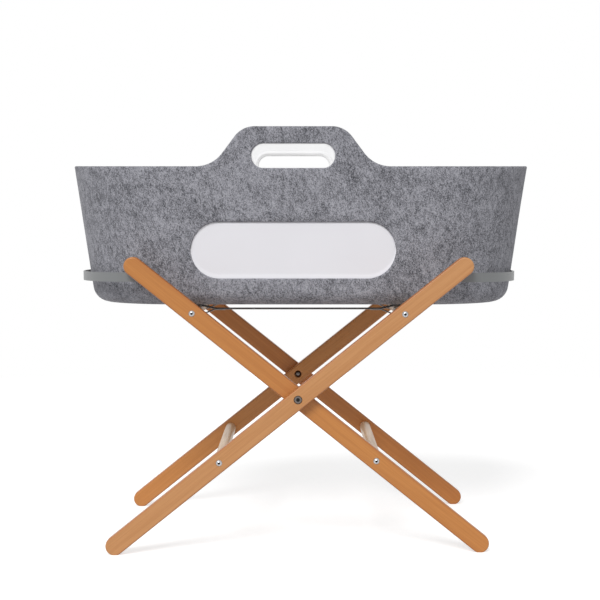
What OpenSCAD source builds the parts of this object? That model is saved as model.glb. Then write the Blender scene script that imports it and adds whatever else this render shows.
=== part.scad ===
// Folding stand made of two crossed wooden frames, with the felt basket it carries.
// X runs along the basket, Y from front to back and Z up. The origin lies on the
// floor, midway between the two pivots. Frame A leans to the right and frame B,
// which is the same frame turned half a turn, leans to the left.

/* [Legs] */
// Length of a leg over its rounded ends
leg_l = 776; // [740:1:820]
// Width of a leg, as seen from the front
leg_w = 31; // [28:0.5:34]
// Thickness of a leg
leg_t = 18; // [16:0.5:20]
// Radius of a leg's eased edges
leg_edge_r = 2.5; // [1:0.25:4]
// Slope of the opened legs, in degrees above the floor
leg_slope = 38.6; // [37:0.1:41]
// Depth planed off the round lower end, where the leg stands
foot_cut = 1; // [0.6:0.1:2]
// Pivot, measured along the leg from the centre of its lower end
pivot_along = 390; // [380:1:400]
// Lower rail, measured in the same way
low_rail_along = 222; // [200:1:260]
// Upper rail, measured in the same way
top_rail_along = 618; // [600:1:630]
// Screws of the end bar, measured back from the centre of the leg's upper end
bar_from_end = 29; // [20:1:45]

/* [Frames] */
// Width of one frame, between the middles of its two legs
frame_w = 395; // [380:1:420]
// Gap between two legs where they cross
leg_gap = 1.5; // [1:0.1:3]
// Diameter of the round rails
rail_d = 20; // [18:0.5:26]
// Chamfer on the ends of a rail
rail_chamfer = 0.8; // [0.4:0.1:2]

/* [Rail bolts] */
// Thread diameter of a rail bolt
bolt_d = 6; // [5:0.5:7]
// Length of a rail bolt under its head
bolt_l = 34; // [28:1:40]
// Diameter of its domed head
bolt_head_d = 11; // [10:0.5:13]
// Height of its domed head
bolt_head_h = 3.2; // [2.5:0.1:4]
// Hexagon socket of a rail bolt, across its flats
socket_af = 4; // [3:0.5:5]
// Depth of the hexagon socket
socket_deep = 2; // [1.5:0.1:2.5]
// Diameter of the threaded insert in the end of a rail
insert_d = 9; // [8:0.5:12]
// Length of the threaded insert
insert_l = 15; // [12:1:20]

/* [Pivots] */
// Shank diameter of a pivot bolt
pivot_d = 8; // [7:0.5:9]
// Thread diameter at the end of a pivot bolt
pivot_thread_d = 6; // [5:0.5:6.5]
// Outer diameter of the sleeve nut
sleeve_d = 10; // [9:0.5:11]
// Diameter of the heads of the pivot bolt and of the sleeve nut
pivot_head_d = 12; // [11:0.5:14]
// Height of those heads
pivot_head_h = 5; // [4:0.25:6]
// Hexagon socket of a pivot bolt, across its flats
pivot_socket_af = 6; // [4:0.5:7]
// Diameter of the counterbore round a pivot head
counterbore_d = 14.5; // [14:0.5:19]
// Depth of the counterbore
counterbore_deep = 6.5; // [6:0.25:8]
// Outer diameter of the washer between two legs
washer_d = 20; // [18:0.5:26]
// Running clearance in a pivot, on the radius
run_gap = 0.08; // [0.03:0.01:0.1]
// End clearance in a pivot, under a head or beside a washer
end_gap = 0.2; // [0.1:0.05:0.3]

/* [End bars] */
// Height of the flat steel bar
bar_h = 16; // [12:0.5:20]
// Thickness of the flat steel bar
bar_t = 3; // [2.5:0.25:4]
// Radius of the bends at the sides, on the outer face
bar_bend_r = 60; // [40:1:80]
// Gap between the basket's right end and the bar
bar_end_gap = 2; // [1.5:0.5:10]
// How far the bar's outer end hangs below level, in degrees
bar_droop = 1.25; // [0:0.25:4]
// Half the distance between the two screws of an arm
bar_screw_half = 8; // [6:0.5:10]
// Shank diameter of a bar screw
bar_screw_d = 4; // [3:0.25:5]
// Length of a bar screw under its head
bar_screw_l = 15; // [12:0.5:16]
// Head diameter of a bar screw
bar_screw_head_d = 8; // [7:0.5:9]
// Straight length of an arm past the middle of its screws
bar_straight = 15; // [12:1:20]
// How far an arm's end stays inside the edge of the leg in front of it
bar_end_inset = 2; // [1:0.5:3]

/* [Straps] */
// Width of the webbing
web_w = 38; // [25:1:45]
// Thickness of the webbing
web_t = 1.2; // [1:0.1:2]
// Middle of each strap, to the front and to the back
web_y = 100; // [80:1:120]
// Distance from a rail's centre to the stitching of the loop
web_stitch = 34; // [30:1:45]
// Length of the loose end that is stitched under the strap
web_tail = 18; // [12:1:25]
// Height of the strap above the middle of the rails
web_rise = 2.8; // [2:0.1:5]
// Gap between the webbing and a rail
web_gap = 0.2; // [0.1:0.05:0.5]

/* [Basket] */
// How far the basket's underside reaches past the centre of a leg's upper end, on both
// sides and before its bottom edge is rounded
basket_overhang = 93.6; // [80:0.1:110]
// Gap between the basket and an inner leg, level with the leg's top
basket_side_gap = 5.9; // [3:0.1:10]
// Gap between the basket and the webbing on the upper rails
basket_rest_gap = 0.3; // [0.1:0.1:1]
// How far the basket sits to the right of the pivots
basket_shift = 5; // [0:0.5:5]
// Lean of the walls, in degrees from upright
flare = 8.9; // [5:0.1:12]
// Radius of the rounded bottom edge
bottom_r = 30; // [24:1:36]
// Thickness of the felt
felt_t = 6; // [4:0.5:8]
// Height of the rim in the middle of a long side
rim_h = 235.3; // [220:1:260]
// How much higher the rim is at the two ends
rim_end_rise = 8.5; // [0:0.5:15]

/* [Handles and windows] */
// Height of a handle above the rim
arch_rise = 66.5; // [60:0.5:75]
// Half the length of a handle's flat top
arch_half = 64.8; // [60:0.1:80]
// Radius of a handle's shoulders
arch_top_r = 42; // [36:1:48]
// Radius where a handle runs out into the rim
arch_foot_r = 56; // [50:1:80]
// Steepness of the straight flank between those two, in degrees
arch_turn = 53; // [48:0.5:60]
// How far the handles and windows sit to the left of the basket's middle
handle_offset = 13; // [0:0.5:20]
// Length of the hand hole
hole_l = 140; // [120:1:150]
// Height of the hand hole
hole_h = 40.5; // [35:0.5:45]
// Felt left above the hand hole
hole_strip = 29; // [22:0.5:35]
// Length of a window
window_l = 347; // [300:1:380]
// Height of a window
window_h = 96; // [80:1:110]
// Middle of a window above the basket's underside
window_mid = 94; // [85:0.5:110]
// How far the white panel lies back in its window
panel_inset = 2.5; // [1.5:0.25:3.5]

/* [Inside the basket] */
// Thickness of the base board
board_t = 3; // [2:0.5:4]
// Thickness of the liner
liner_t = 1.5; // [1:0.25:2]
// Gap between the liner and the felt wall
liner_gap = 0.3; // [0.2:0.1:1]
// How far the liner stops below the felt's top edge and short of the hand hole
liner_inset = 4; // [2:0.5:8]
// Gap between the mattress and the liner
mattress_gap = 3; // [2:0.5:8]
// Height of the mattress at its edge
mattress_h = 34; // [28:1:40]
// How much higher the mattress is in the middle
mattress_crown = 9; // [4:0.5:14]
// How far the mattress side is drawn in between its two seams
mattress_waist = 1.6; // [0.5:0.1:3]

/* [Hidden] */
$fn = 96;

// Overshoot of a cut past the face it leaves
cut = 1;

// Legs and frames
leg_r = leg_w / 2;
leg_span = leg_l - leg_w;
bar_along = leg_span - bar_from_end;
pivot_z = leg_r - foot_cut + pivot_along * sin(leg_slope);
function leg_x(along) = (along - pivot_along) * cos(leg_slope);
function leg_z(along) = pivot_z + (along - pivot_along) * sin(leg_slope);
leg_top_z = leg_z(leg_span) + leg_r;
outer_y = (frame_w + leg_t + leg_gap) / 2;
inner_y = (frame_w - leg_t - leg_gap) / 2;
rail_l = frame_w - leg_t;
rail_mid_y = -(leg_t + leg_gap) / 2;
rails_along = [low_rail_along, top_rail_along];
// Faces of the legs that the rails and the end bar of frame A meet
front_face_y = leg_t / 2 - outer_y;
rear_face_y = inner_y - leg_t / 2;

// Rail bolts
bolt_hole_d = bolt_d + 0.4;
bolt_end_room = 6;

// Pivots
head_seat = outer_y + leg_t / 2 - counterbore_deep;
nut_seat = inner_y - leg_t / 2 + counterbore_deep;
sleeve_end = inner_y + leg_t / 2 - 1;
shoulder = sleeve_end + end_gap;
thread_end = nut_seat + 2;

// Straps
top_rail_x = leg_x(top_rail_along);
top_rail_z = leg_z(top_rail_along);
loop_r = rail_d / 2 + web_gap + web_t / 2;
web_steps = 24;

// Basket
basket_l = 2 * (leg_x(leg_span) + basket_overhang);
basket_z = top_rail_z + loop_r + web_t / 2 + basket_rest_gap;
base_r = rear_face_y - basket_side_gap - (leg_top_z - basket_z) * tan(flare);
straight_half = basket_l / 2 - base_r;
bend_r = base_r + bottom_r * tan(flare) - bottom_r / cos(flare);
basket_top = rim_h + arch_rise;
function wall_r(h, inset) = base_r + h * tan(flare) - inset / cos(flare);
rim_r = wall_r(rim_h, 0);
rim_fall = rim_end_rise / rim_r;
arch_sum_r = arch_top_r + arch_foot_r;
arch_flank = (arch_rise - arch_sum_r * (1 - cos(arch_turn))) / sin(arch_turn);
arch_reach = arch_half + arch_sum_r * sin(arch_turn) + arch_flank * cos(arch_turn);
hole_mid = basket_top - hole_strip - hole_h / 2;
liner_floor = felt_t + board_t;
liner_skin = felt_t + liner_gap;

// End bars
bar_x = leg_x(bar_along);
bar_z = leg_z(bar_along);
bar_end_x = (leg_r - bar_h / 2 * cos(leg_slope)) / sin(leg_slope) - bar_end_inset;
bar_reach = basket_shift + straight_half + wall_r(bar_z - basket_z, 0) + bar_end_gap + bar_t - bar_x;
bar_half_w = rail_l / 2;
bar_rise = bar_reach - bar_straight;
bar_inner_half = bar_half_w - bar_bend_r;
bar_crown_r = (bar_rise * bar_rise + bar_inner_half * bar_inner_half - bar_bend_r * bar_bend_r)
    / (2 * (bar_rise - bar_bend_r));
bar_crown_x = bar_reach - bar_crown_r;

// Mattress
mattress_z = liner_floor + liner_t;
mattress_r = bend_r + bottom_r - liner_skin - liner_t - mattress_gap;
mattress_foot = bottom_r - mattress_z;
mattress_edge_r = 9;
mattress_cols = 56;

// Shapes shared by several pieces

// A round bar along Y, between y0 and y1
module y_rod(x, z, y0, y1, d) {
    translate([x, min(y0, y1), z]) rotate([-90, 0, 0]) cylinder(d = d, h = abs(y1 - y0));
}

// A rectangle with eased corners
module eased_rect(w, h, r) {
    square([w - 2 * r, h], center = true);
    square([w, h - 2 * r], center = true);
    for (x = [r - w / 2, w / 2 - r], y = [r - h / 2, h / 2 - r])
        translate([x, y]) circle(r = r);
}

// The right half of the same rectangle
module eased_half(w, h, r) {
    translate([0, -h / 2]) square([w / 2 - r, h]);
    translate([0, r - h / 2]) square([w / 2, h - 2 * r]);
    for (y = [r - h / 2, h / 2 - r])
        translate([w / 2 - r, y]) circle(r = r);
}

// A slot outline with round ends
module slot(l, h) {
    square([l - h, h], center = true);
    for (x = [(h - l) / 2, (l - h) / 2])
        translate([x, 0]) circle(d = h);
}

// A slot cut through both long walls of the basket
module slot_through(l, h, mid) {
    for (side = [0, 180])
        translate([-handle_offset, 0, mid]) rotate([90, 0, side]) linear_extrude(basket_l) slot(l, h);
}

// Frame B is frame A turned half a turn about the upright axis
module as_frame_b() {
    rotate([0, 0, 180]) children();
}

// Legs

// A leg in its own frame: the pivot at the origin, its length along X, its
// thickness along Z
module leg_blank() {
    translate([-pivot_along, 0, 0]) {
        rotate([90, 0, 90]) linear_extrude(leg_span) eased_rect(leg_w, leg_t, leg_edge_r);
        rotate([0, 0, 90]) rotate_extrude(angle = 180) eased_half(leg_w, leg_t, leg_edge_r);
        translate([leg_span, 0, 0]) rotate([0, 0, -90])
            rotate_extrude(angle = 180) eased_half(leg_w, leg_t, leg_edge_r);
    }
}

// A leg of frame A with its middle at y and its counterbore in the front face.
// inside is +1 where the rails meet its rear face and -1 where they meet its
// front face
module leg(y, inside, bore_d) {
    front = y - leg_t / 2;
    rail_face = y + inside * leg_t / 2;
    difference() {
        translate([0, y, pivot_z]) rotate([0, -leg_slope, 0]) rotate([90, 0, 0]) leg_blank();
        y_rod(0, pivot_z, y - leg_t, y + leg_t, bore_d);
        y_rod(0, pivot_z, front - cut, front + counterbore_deep, counterbore_d);
        for (a = rails_along)
            y_rod(leg_x(a), leg_z(a), y - leg_t, y + leg_t, bolt_hole_d);
        at_bar() for (x = [-bar_screw_half, bar_screw_half])
            y_rod(x, 0, rail_face + inside * cut, rail_face - inside * (bar_screw_l - bar_t), bar_screw_d);
        translate([-leg_l, y - leg_t, -leg_w]) cube([2 * leg_l, 2 * leg_t, leg_w]);
    }
}

module outer_leg() {
    leg(-outer_y, 1, pivot_d + 2 * run_gap);
}

module inner_leg() {
    leg(inner_y, -1, sleeve_d + 2 * run_gap);
}

module front_outer_leg() { color("peru") outer_leg(); }
module rear_inner_leg() { color("peru") inner_leg(); }
module front_inner_leg() { color("peru") as_frame_b() inner_leg(); }
module rear_outer_leg() { color("peru") as_frame_b() outer_leg(); }

// Rails, with a stepped hole in each end for the insert and the bolt

module rail_end_hole() {
    translate([0, 0, -cut]) cylinder(d = insert_d, h = insert_l + cut);
    cylinder(d = bolt_hole_d, h = bolt_l - leg_t + bolt_end_room);
}

module rail(along) {
    r = rail_d / 2;
    translate([leg_x(along), rail_mid_y, leg_z(along)]) rotate([-90, 0, 0]) difference() {
        rotate_extrude() polygon([
            [0, -rail_l / 2], [r - rail_chamfer, -rail_l / 2], [r, rail_chamfer - rail_l / 2],
            [r, rail_l / 2 - rail_chamfer], [r - rail_chamfer, rail_l / 2], [0, rail_l / 2]]);
        translate([0, 0, -rail_l / 2]) rail_end_hole();
        translate([0, 0, rail_l / 2]) mirror([0, 0, 1]) rail_end_hole();
    }
}

module lower_left_rail() { color("burlywood") rail(low_rail_along); }
module upper_right_rail() { color("burlywood") rail(top_rail_along); }
module lower_right_rail() { color("burlywood") as_frame_b() rail(low_rail_along); }
module upper_left_rail() { color("burlywood") as_frame_b() rail(top_rail_along); }

// Rail bolts and the inserts they screw into. Each pair is drawn at the origin,
// with the bolt's head below Z = 0 and its thread above

module rail_bolt() {
    dome_r = (bolt_head_d * bolt_head_d / 4 + bolt_head_h * bolt_head_h) / (2 * bolt_head_h);
    difference() {
        union() {
            cylinder(d = bolt_d, h = bolt_l);
            intersection() {
                translate([0, 0, dome_r - bolt_head_h]) sphere(r = dome_r);
                translate([0, 0, -bolt_head_h - cut]) cylinder(d = bolt_head_d, h = bolt_head_h + cut);
            }
        }
        translate([0, 0, -bolt_head_h - cut])
            cylinder(d = socket_af / cos(30), h = socket_deep + cut, $fn = 6);
    }
}

module rail_insert() {
    translate([0, 0, leg_t]) difference() {
        cylinder(d = insert_d, h = insert_l);
        translate([0, 0, -cut]) cylinder(d = bolt_d, h = insert_l + 2 * cut);
    }
}

// The four places of frame A where a bolt's head meets a leg's outer face
module at_rail_ends() {
    for (a = rails_along) {
        translate([leg_x(a), -outer_y - leg_t / 2, leg_z(a)]) rotate([-90, 0, 0]) children();
        translate([leg_x(a), inner_y + leg_t / 2, leg_z(a)]) rotate([90, 0, 0]) children();
    }
}

module rail_bolts_a() { color("silver") at_rail_ends() rail_bolt(); }
module rail_bolts_b() { color("silver") as_frame_b() at_rail_ends() rail_bolt(); }
module rail_inserts_a() { color("goldenrod") at_rail_ends() rail_insert(); }
module rail_inserts_b() { color("goldenrod") as_frame_b() at_rail_ends() rail_insert(); }

// Pivots. Each is drawn for the front, with its bolt coming in along +Y. The
// gaps say how far each head stands off its seat: nothing in the leg of frame A
// that it is fixed to, and end_gap in the leg of frame B that turns under it

module pivot_bolt(gap) {
    head_y = -head_seat - gap;
    difference() {
        union() {
            y_rod(0, pivot_z, head_y - pivot_head_h, head_y, pivot_head_d);
            y_rod(0, pivot_z, head_y, -shoulder, pivot_d);
            y_rod(0, pivot_z, -shoulder, -thread_end, pivot_thread_d);
        }
        y_rod(0, pivot_z, head_y - pivot_head_h - cut, head_y - pivot_head_h / 2,
            pivot_socket_af / cos(30), $fn = 6);
    }
}

module pivot_nut(gap) {
    head_y = -nut_seat + gap;
    dome_r = (pivot_head_d * pivot_head_d / 4 + pivot_head_h * pivot_head_h) / (2 * pivot_head_h);
    difference() {
        union() {
            y_rod(0, pivot_z, -sleeve_end, head_y, sleeve_d);
            intersection() {
                translate([0, head_y + pivot_head_h - dome_r, pivot_z]) sphere(r = dome_r);
                y_rod(0, pivot_z, head_y, head_y + pivot_head_h + cut, pivot_head_d);
            }
        }
        y_rod(0, pivot_z, -sleeve_end - cut, -thread_end, pivot_thread_d);
    }
}

// The washer lies on frame A's leg, whose face is at y; side is +1 if it lies behind that face
module pivot_washer(y, side) {
    difference() {
        y_rod(0, pivot_z, y, y + side * (leg_gap - end_gap), washer_d);
        y_rod(0, pivot_z, y - leg_gap - cut, y + leg_gap + cut, sleeve_d + 2 * run_gap);
    }
}

module front_pivot_bolt() { color("dimgray") pivot_bolt(0); }
module front_pivot_nut() { color("gray") pivot_nut(end_gap); }
module front_pivot_washer() { color("white") pivot_washer(leg_t / 2 - outer_y, 1); }
module rear_pivot_bolt() { color("dimgray") as_frame_b() pivot_bolt(end_gap); }
module rear_pivot_nut() { color("gray") as_frame_b() pivot_nut(0); }
module rear_pivot_washer() { color("white") pivot_washer(inner_y + leg_t / 2, 1); }

// End bars

// The place where a bar's arms are screwed to the legs, with the bar's droop
module at_bar() {
    translate([bar_x, 0, bar_z]) rotate([0, bar_droop, 0]) children();
}

// The plan within a line at inset from the bar's outer face: two straight arms
// that run back behind the screws, a bend on each side and one wide arc across
// the end, whose centre lies on the lines through the centres of the bends
module bar_plan(inset, back) {
    half_w = bar_half_w - inset;
    turn = [bar_straight - bar_crown_x, bar_inner_half];
    far = 2 * bar_crown_r / turn[0];
    translate([-back, -half_w]) square([back + bar_straight, 2 * half_w]);
    intersection() {
        translate([-back, -half_w]) square([back + bar_reach, 2 * half_w]);
        for (side = [-1, 1])
            translate([bar_straight, side * bar_inner_half]) circle(r = bar_bend_r - inset);
    }
    translate([bar_crown_x, 0]) intersection() {
        circle(r = bar_crown_r - inset);
        polygon([[0, 0], far * turn, far * [turn[0], -turn[1]]]);
    }
}

module end_bar() {
    at_bar() difference() {
        translate([0, rail_mid_y, -bar_h / 2]) linear_extrude(bar_h) difference() {
            bar_plan(0, bar_end_x);
            bar_plan(bar_t, bar_end_x + cut);
        }
        for (x = [-bar_screw_half, bar_screw_half])
            y_rod(x, 0, front_face_y - cut, rear_face_y + cut, bar_screw_d + 0.2);
    }
}

// A pan-head screw with its head's underside at Z = 0 and its point below
module bar_screw() {
    head_h = bar_screw_head_d / 3;
    dome_r = (bar_screw_head_d * bar_screw_head_d / 4 + head_h * head_h) / (2 * head_h);
    tip = bar_screw_d;
    translate([0, 0, tip - bar_screw_l]) cylinder(d = bar_screw_d, h = bar_screw_l - tip);
    translate([0, 0, -bar_screw_l]) cylinder(d1 = bar_screw_d / 8, d2 = bar_screw_d, h = tip);
    intersection() {
        translate([0, 0, head_h - dome_r]) sphere(r = dome_r);
        cylinder(d = bar_screw_head_d, h = head_h + cut);
    }
}

module bar_screws() {
    at_bar() for (x = [-bar_screw_half, bar_screw_half]) {
        translate([x, front_face_y + bar_t, 0]) rotate([-90, 0, 0]) bar_screw();
        translate([x, rear_face_y - bar_t, 0]) rotate([90, 0, 0]) bar_screw();
    }
}

module right_end_bar() { color("slategray") end_bar(); }
module left_end_bar() { color("slategray") as_frame_b() end_bar(); }
module right_bar_screws() { color("silver") bar_screws(); }
module left_bar_screws() { color("silver") as_frame_b() bar_screws(); }

// Straps: webbing looped round both upper rails and stitched back on itself.
// Points are seen from the rail's centre, so a height is above the rail's middle

// Where webbing that comes down from height a touches a loop of radius r, goes
// round the rail and leaves for height b, both at the stitching
function touch_turn(height, r) = acos(r / norm([web_stitch, height]));
function loop_points(r, a, b) = let (
        over = 180 - atan(a / web_stitch) - touch_turn(a, r),
        under = touch_turn(b, r) - atan(b / web_stitch) - 180)
    [for (k = [0:web_steps]) let (turn = over + (under - over) * k / web_steps) r * [cos(turn), sin(turn)]];

// The right half of the strap: the run, the loose end below it and the loop
module strap_half() {
    top = web_rise + web_t / 2;
    middle = top - web_t;
    bottom = middle - web_t;
    tail_x = -web_stitch - web_tail;
    translate([top_rail_x, top_rail_z]) difference() {
        polygon(concat([[-top_rail_x, middle], [-top_rail_x, top], [-web_stitch, top]],
            loop_points(loop_r + web_t / 2, top, bottom),
            [[-web_stitch, bottom], [tail_x, bottom], [tail_x, middle]]));
        polygon(concat([[-web_stitch, middle]], loop_points(loop_r - web_t / 2, middle, middle)));
    }
}

module strap(y) {
    translate([0, y + web_w / 2, 0]) rotate([90, 0, 0]) linear_extrude(web_w) {
        strap_half();
        mirror([1, 0]) strap_half();
    }
}

module front_strap() { color("dimgray") strap(-web_y); }
module rear_strap() { color("dimgray") strap(web_y); }

// Basket

// The basket's frame: its underside at Z = 0
module at_basket() {
    translate([basket_shift, 0, basket_z]) children();
}

// Half the cross-section of the basket as a full block, inset from its outer
// face and reaching up to h
module basket_section(inset, h) {
    arc_r = bottom_r - inset;
    polygon([[0, inset], [bend_r, inset], [bend_r, bottom_r],
        [bend_r + arc_r * cos(flare), bottom_r - arc_r * sin(flare)], [wall_r(h, inset), h], [0, h]]);
    translate([bend_r, bottom_r]) circle(r = arc_r);
}

// A section carried along the two straight sides and turned round both ends
module round_ended() {
    rotate([90, 0, 90]) linear_extrude(2 * straight_half, center = true) {
        children();
        mirror([1, 0]) children();
    }
    for (end = [0, 180])
        rotate([0, 0, end]) translate([straight_half, 0, 0]) rotate([0, 0, -90])
            rotate_extrude(angle = 180) children();
}

module basket_block(inset, h) {
    round_ended() basket_section(inset, h);
}

// Everything under a handle's outline, drop below the felt's own top edge
module arch_block(drop) {
    rim = rim_h - drop;
    top = basket_top - drop;
    top_r = arch_top_r - drop;
    foot_r = arch_foot_r + drop;
    turn_x = arch_half + top_r * sin(arch_turn);
    turn_z = top - top_r * (1 - cos(arch_turn));
    flank_x = arch_reach - foot_r * sin(arch_turn);
    flank_z = rim + foot_r * (1 - cos(arch_turn));
    translate([-handle_offset, 0, 0]) rotate([90, 0, 0])
        linear_extrude(2 * basket_l, center = true) difference() {
            union() {
                polygon([[-arch_reach, 0], [arch_reach, 0], [arch_reach, rim], [flank_x, flank_z],
                    [turn_x, turn_z], [arch_half, top], [-arch_half, top], [-turn_x, turn_z],
                    [-flank_x, flank_z], [-arch_reach, rim]]);
                for (x = [-arch_half, arch_half])
                    translate([x, top - top_r]) circle(r = top_r);
            }
            for (x = [-arch_reach, arch_reach])
                translate([x, rim + foot_r]) circle(r = foot_r);
        }
}

// What is trimmed off above the rim, which rises towards both ends
module above_rim(drop) {
    y = rim_r + basket_top;
    low = rim_h + rim_end_rise - rim_fall * y - drop;
    difference() {
        rotate([90, 0, 90]) linear_extrude(2 * basket_l, center = true)
            polygon([[-y, low], [0, rim_h + rim_end_rise - drop], [y, low],
                [y, 2 * basket_top], [-y, 2 * basket_top]]);
        arch_block(drop);
    }
}

module felt_basket() {
    color("darkgray") at_basket() difference() {
        basket_block(0, basket_top);
        basket_block(felt_t, basket_top + cut);
        above_rim(0);
        slot_through(hole_l, hole_h, hole_mid);
        slot_through(window_l, window_h, window_mid);
    }
}

// A white panel sewn into the window of the front wall
module window_panel() {
    intersection() {
        difference() {
            basket_block(panel_inset, rim_h);
            basket_block(felt_t, rim_h + cut);
        }
        translate([-handle_offset, 0, window_mid]) rotate([90, 0, 0])
            linear_extrude(basket_l) slot(window_l, window_h);
    }
}

module front_window_panel() { color("white") at_basket() window_panel(); }
module rear_window_panel() { color("white") at_basket() mirror([0, 1, 0]) window_panel(); }

// A stiff board on the felt's floor, as wide as that floor is flat
module base_board() {
    color("tan") at_basket() translate([0, 0, felt_t]) linear_extrude(board_t) {
        square([2 * straight_half, 2 * bend_r], center = true);
        for (x = [-straight_half, straight_half])
            translate([x, 0]) circle(r = bend_r);
    }
}

// The block inside the basket above a level z
module block_above(z, inset, h) {
    difference() {
        basket_block(inset, h);
        translate([-basket_l, -basket_l, z - 2 * basket_l]) cube(2 * basket_l);
    }
}

module liner() {
    color("whitesmoke") at_basket() difference() {
        block_above(liner_floor, liner_skin, basket_top);
        block_above(liner_floor + liner_t, liner_skin + liner_t, basket_top + cut);
        above_rim(liner_inset);
        slot_through(hole_l + 2 * liner_inset, hole_h + 2 * liner_inset, hole_mid);
    }
}

// Mattress: rings that share the basket's rounded plan. Its lower edge follows
// the basket's rounded bottom. Each ring is given by its radius at the ends, its
// height and the share of the plan that it keeps
mattress_rings = concat(
    [[bend_r, 0, 0.5]],
    [for (a = [0:30:90]) [bend_r + (mattress_r - bend_r) * sin(a), mattress_foot * (1 - cos(a)), 1]],
    [[mattress_r - mattress_waist, (mattress_h + mattress_foot - mattress_edge_r) / 2, 1]],
    [for (a = [0:30:90]) [mattress_r - mattress_edge_r * (1 - cos(a)),
        mattress_h - mattress_edge_r * (1 - sin(a)), 1]],
    [for (k = [0.85, 0.65, 0.4, 0.18])
        [mattress_r - mattress_edge_r, mattress_h + mattress_crown * (1 - pow(k, 2.4)), k]]
);

function plan_point(i, r) =
    let (a = 360 * (i + 0.5) / mattress_cols, x = r * cos(a))
    [x + (x > 0 ? straight_half : -straight_half), r * sin(a)];

function ring_points(ring) = [for (i = [0:mattress_cols - 1])
    let (p = plan_point(i, ring[0])) [p[0] * ring[2], p[1] * ring[2], ring[1]]];

module mattress() {
    n = mattress_cols;
    rows = len(mattress_rings);
    points = concat([for (ring = mattress_rings) each ring_points(ring)],
        [[0, 0, 0], [0, 0, mattress_h + mattress_crown]]);
    sides = [for (j = [0:rows - 2], i = [0:n - 1])
        let (a = j * n + i, b = j * n + (i + 1) % n) each [[a, a + n, b], [b, a + n, b + n]]];
    floor_fan = [for (i = [0:n - 1]) [rows * n, i, (i + 1) % n]];
    top_fan = [for (i = [0:n - 1])
        [rows * n + 1, (rows - 1) * n + (i + 1) % n, (rows - 1) * n + i]];
    color("ivory") at_basket() translate([0, 0, mattress_z])
        polyhedron(points = points, faces = concat(sides, floor_fan, top_fan), convexity = 4);
}

front_outer_leg();
rear_inner_leg();
lower_left_rail();
upper_right_rail();
rail_bolts_a();
rail_inserts_a();
right_end_bar();
right_bar_screws();
front_pivot_bolt();
front_pivot_nut();
front_pivot_washer();
rear_pivot_bolt();
rear_pivot_nut();
rear_pivot_washer();
front_inner_leg();
rear_outer_leg();
lower_right_rail();
upper_left_rail();
rail_bolts_b();
rail_inserts_b();
left_end_bar();
left_bar_screws();
front_strap();
rear_strap();
felt_basket();
front_window_panel();
rear_window_panel();
base_board();
liner();
mattress();
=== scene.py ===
"""The looks of a folding wooden stand and its felt baby basket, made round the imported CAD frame."""

import math

import bmesh
import bpy
import numpy as np
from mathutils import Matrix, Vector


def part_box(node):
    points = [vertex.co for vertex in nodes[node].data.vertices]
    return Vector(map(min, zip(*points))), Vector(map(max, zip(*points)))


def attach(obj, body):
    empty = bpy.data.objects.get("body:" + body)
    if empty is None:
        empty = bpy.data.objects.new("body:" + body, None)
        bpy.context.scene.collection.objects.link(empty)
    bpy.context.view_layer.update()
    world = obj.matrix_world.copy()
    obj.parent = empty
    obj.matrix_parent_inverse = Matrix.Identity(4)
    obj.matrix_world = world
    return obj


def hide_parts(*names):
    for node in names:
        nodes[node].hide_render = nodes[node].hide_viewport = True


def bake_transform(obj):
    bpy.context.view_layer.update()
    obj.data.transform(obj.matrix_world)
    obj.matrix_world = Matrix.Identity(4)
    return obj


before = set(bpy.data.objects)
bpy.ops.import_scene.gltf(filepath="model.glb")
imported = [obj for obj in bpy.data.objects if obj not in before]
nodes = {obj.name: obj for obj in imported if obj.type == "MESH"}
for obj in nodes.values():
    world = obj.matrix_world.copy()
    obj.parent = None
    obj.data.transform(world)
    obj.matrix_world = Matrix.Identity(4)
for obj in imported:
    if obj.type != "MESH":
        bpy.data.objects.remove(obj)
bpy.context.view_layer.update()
scene = bpy.context.scene
scene.view_settings.view_transform = "Standard"

# Camera: level, about 2.5 m in front of the stand and as high as the basket's wall, with a
# long lens. The frame is shifted down, as a product photographer does to keep uprights upright.
lens = bpy.data.cameras.new("camera")
lens.sensor_width = 36
lens.lens = 81.7
lens.shift_x = 0.0033
lens.shift_y = -0.125
camera = bpy.data.objects.new("camera", lens)
camera.location = (0, -2.477, 0.5485)
camera.rotation_euler = (math.radians(90), 0, 0)
scene.collection.objects.link(camera)
scene.camera = camera


# Studio: a white room that lights evenly from all round, one large soft lamp from the front
# left, and a white floor that takes the stand's shadow.
ROOM_LIGHT = 0.45
LAMP_LIGHT = 0.65
LAMP_AZIMUTH = math.radians(18)
LAMP_HEIGHT = math.radians(42)
LAMP_SPREAD = math.radians(24)
FLOOR_GLOW = 0.60


def srgb(colour):
    """A hex colour as linear RGBA: each channel goes through the sRGB curve."""
    channel = np.array([int(colour[i:i + 2], 16) for i in (1, 3, 5)]) / 255
    linear = np.where(channel <= 0.04045, channel / 12.92, ((channel + 0.055) / 1.055) ** 2.4)
    return (*linear.tolist(), 1.0)


def add_node(tree, kind, inputs=None, **settings):
    """Adds a shader node. Each input is a socket's name or number with its value, or with what
    is linked to it: an output, or a node, which stands for the first output that it has in use."""
    new = tree.nodes.new("ShaderNode" + kind)
    for name, value in settings.items():
        setattr(new, name, value)
    for socket, value in (inputs or {}).items():
        if isinstance(value, bpy.types.Node):
            value = next(output for output in value.outputs if output.enabled)
        if isinstance(value, bpy.types.NodeSocket):
            tree.links.new(value, new.inputs[socket])
        else:
            new.inputs[socket].default_value = value
    return new


def new_material(name):
    """An empty material and its node tree."""
    material = bpy.data.materials.new(name)
    material.use_nodes = True
    material.node_tree.nodes.clear()
    return material, material.node_tree


def seen_directly(tree):
    """1 for rays from the camera, a mirror or glass, and 0 for rays that carry light."""
    path = add_node(tree, "LightPath").outputs
    seen = add_node(tree, "Math", {0: path["Is Camera Ray"], 1: path["Is Glossy Ray"]}, operation="MAXIMUM")
    return add_node(tree, "Math", {0: seen, 1: path["Is Transmission Ray"]}, operation="MAXIMUM")


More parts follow.
